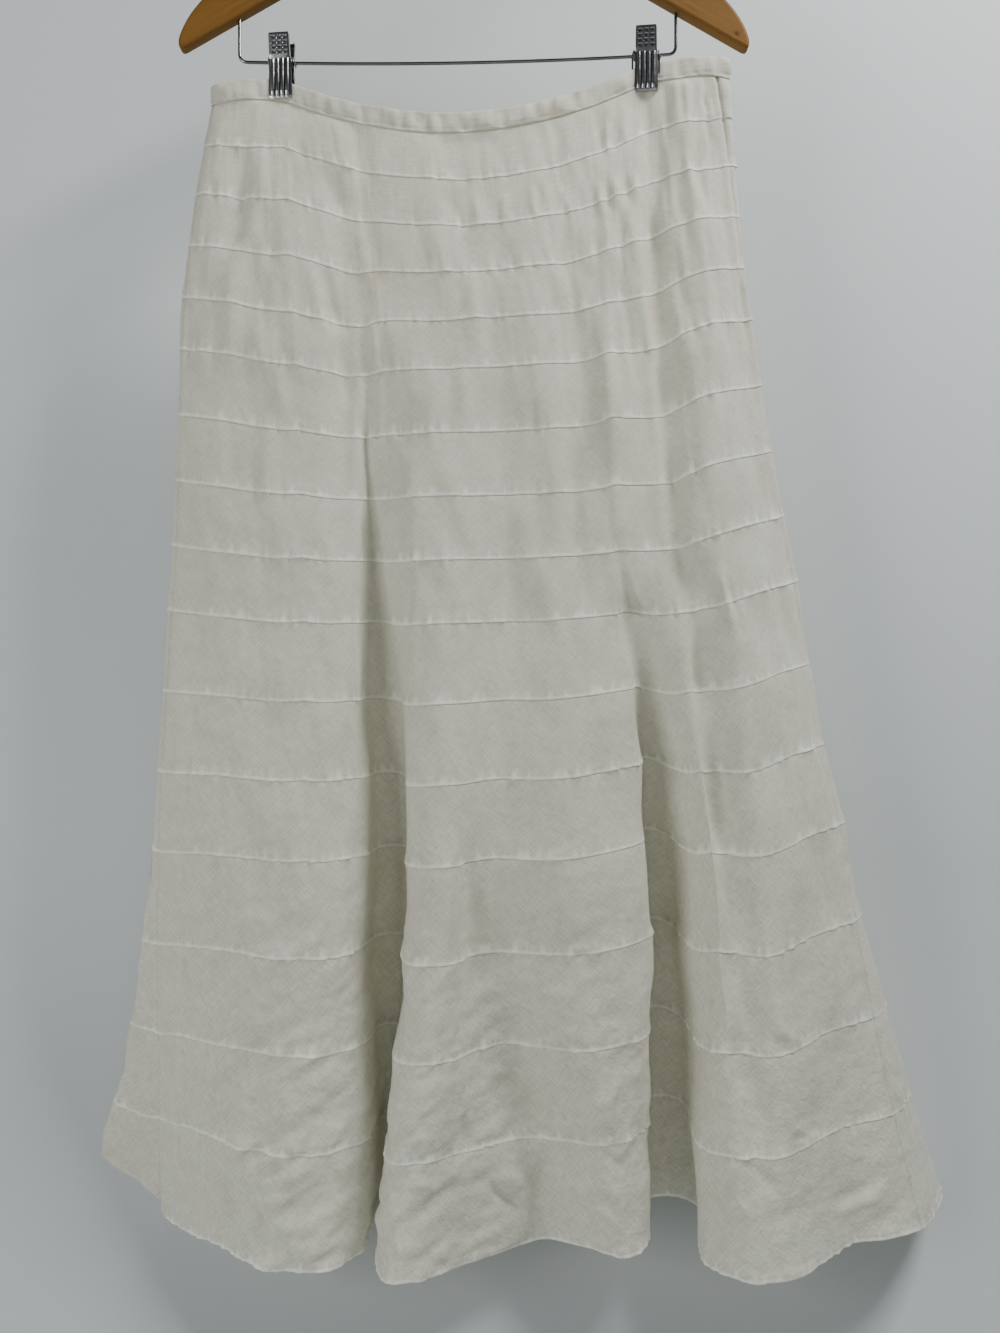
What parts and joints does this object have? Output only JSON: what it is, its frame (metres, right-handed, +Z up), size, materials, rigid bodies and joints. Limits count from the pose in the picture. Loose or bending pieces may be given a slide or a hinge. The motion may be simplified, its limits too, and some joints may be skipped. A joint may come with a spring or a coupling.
{
  "type": "tiered midi skirt on a wooden clip hanger",
  "caption": "White linen A-line midi skirt of flat tiers that deepen towards a softly folded hem, held by the waistband in two chrome clips on a wooden hanger.",
  "frame": {"origin": "inside top of the hook, where it rests on its rail", "axes": "+X along the hanger to the viewer's right, +Y from the skirt's front to its back, +Z up"},
  "size_m": [0.7049, 0.1787, 1.1616],
  "materials": {
    "linen": "matt off-white linen, plain weave",
    "zip_tape": "matt woven tape",
    "wood": "clear satin lacquer on honey-coloured wood",
    "chrome": "bright plated steel"
  },
  "bodies": {
    "root": {"waistband_front": "linen", "waistband_back": "linen", "tier_01_front": "linen", "tier_01_back": "linen", "tier_02_front": "linen", "tier_02_back": "linen", "tier_03_front": "linen", "tier_03_back": "linen", "tier_04_front": "linen", "tier_04_back": "linen", "tier_05_front": "linen", "tier_05_back": "linen", "tier_06_front": "linen", "tier_06_back": "linen", "tier_07_front": "linen", "tier_07_back": "linen", "tier_08_front": "linen", "tier_08_back": "linen", "tier_09_front": "linen", "tier_09_back": "linen", "tier_10_front": "linen", "tier_10_back": "linen", "tier_11_front": "linen", "tier_11_back": "linen", "tier_12_front": "linen", "tier_12_back": "linen", "tier_13_front": "linen", "tier_13_back": "linen", "tier_14_front": "linen", "tier_14_back": "linen", "tier_15_front": "linen", "tier_15_back": "linen", "tier_16_front": "linen", "tier_16_back": "linen", "side_zip": "zip_tape", "hanger_wood": "wood", "hanger_hook": "chrome", "hanger_bar": "chrome", "clip_left_front_jaw": "chrome", "clip_left_back_jaw": "chrome", "clip_left_sleeve": "chrome", "clip_right_front_jaw": "chrome", "clip_right_back_jaw": "chrome", "clip_right_sleeve": "chrome"}
  },
  "joints": []
}
